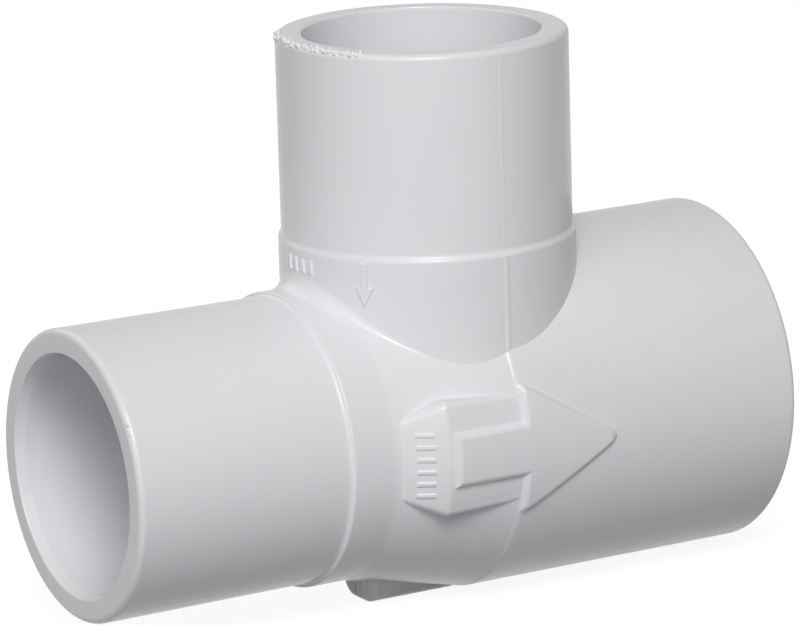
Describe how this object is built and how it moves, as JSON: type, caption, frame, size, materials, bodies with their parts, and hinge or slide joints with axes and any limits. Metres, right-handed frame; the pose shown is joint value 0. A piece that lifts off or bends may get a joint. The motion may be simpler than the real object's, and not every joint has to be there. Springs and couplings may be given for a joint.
{
  "type": "venturi tee",
  "caption": "Moulded plastic pipe tee with a smaller inlet socket, an air socket on top, a larger outlet socket, an inner nozzle and a raised flow arrow.",
  "frame": {"origin": "on the run axis, in the inlet socket where its entry chamfer ends and its straight wall begins, 0.9 mm inside the inlet face", "axes": "+X along the run in the direction of flow, +Z along the branch towards its mouth, -Y towards the side that carries the raised flow arrow"},
  "size_m": [0.1487, 0.073, 0.1162],
  "materials": {
    "white_pvc": "semi-gloss moulded white, slightly grey"
  },
  "bodies": {
    "root": {"tee_body": "white_pvc"}
  },
  "joints": []
}
